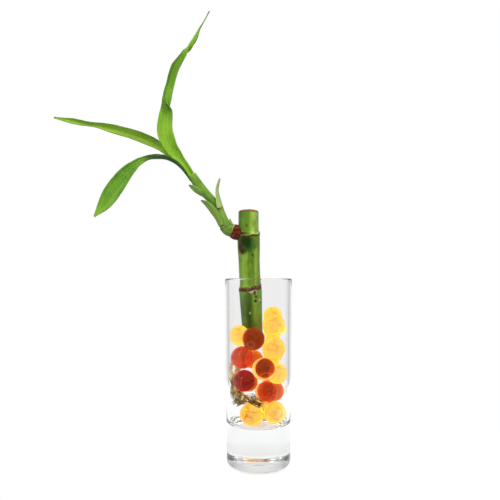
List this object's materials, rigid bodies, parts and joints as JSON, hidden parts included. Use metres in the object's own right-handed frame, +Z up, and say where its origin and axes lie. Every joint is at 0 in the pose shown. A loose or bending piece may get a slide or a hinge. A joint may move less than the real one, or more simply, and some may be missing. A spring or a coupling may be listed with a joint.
{
  "type": "lucky bamboo in glass vase",
  "caption": "Lucky bamboo cutting with a leafy side shoot and a root tangle, standing in a tall clear glass vase among round clear amber and yellow water beads.",
  "frame": {"origin": "centre of the flat underside of the glass vase", "axes": "+Z up along the vase, +X to the viewer's right in the picture, -Y towards the viewer"},
  "size_m": [0.145, 0.04, 0.2775],
  "materials": {
    "clear_glass": "clear, smooth, fire-polished rim",
    "cane_skin": "waxy green living skin with brown leaf scars, satin",
    "dry_scale": "dry papery red-brown scale, matt",
    "shoot_skin": "smooth green sheath, satin",
    "leaf_blade": "supple green leaf with fine lengthwise veins, satin",
    "scale_leaf": "thin pale green scale leaf, satin",
    "root_bark": "thin brown-orange root skin, matt",
    "yellow_bead": "clear yellow, wet gloss",
    "orange_bead": "clear orange, wet gloss",
    "amber_bead": "clear dark amber red, wet gloss"
  },
  "bodies": {
    "root": {"glass": "clear_glass", "cane": "cane_skin", "shoot_collar": "dry_scale", "shoot": "shoot_skin", "leaf_upper": "leaf_blade", "leaf_left": "leaf_blade", "leaf_lower": "leaf_blade", "bract_right": "scale_leaf", "bract_left_low": "scale_leaf", "bract_left_high": "scale_leaf", "roots": "root_bark", "bead_01": "yellow_bead", "bead_02": "yellow_bead", "bead_03": "orange_bead", "bead_04": "orange_bead", "bead_05": "amber_bead", "bead_06": "orange_bead", "bead_07": "yellow_bead", "bead_08": "amber_bead", "bead_09": "orange_bead", "bead_10": "amber_bead", "bead_11": "yellow_bead", "bead_12": "amber_bead", "bead_13": "orange_bead", "bead_14": "yellow_bead", "bead_15": "yellow_bead", "bead_16": "amber_bead", "bead_17": "yellow_bead", "bead_18": "yellow_bead", "bead_19": "yellow_bead", "bead_20": "yellow_bead"}
  },
  "joints": []
}
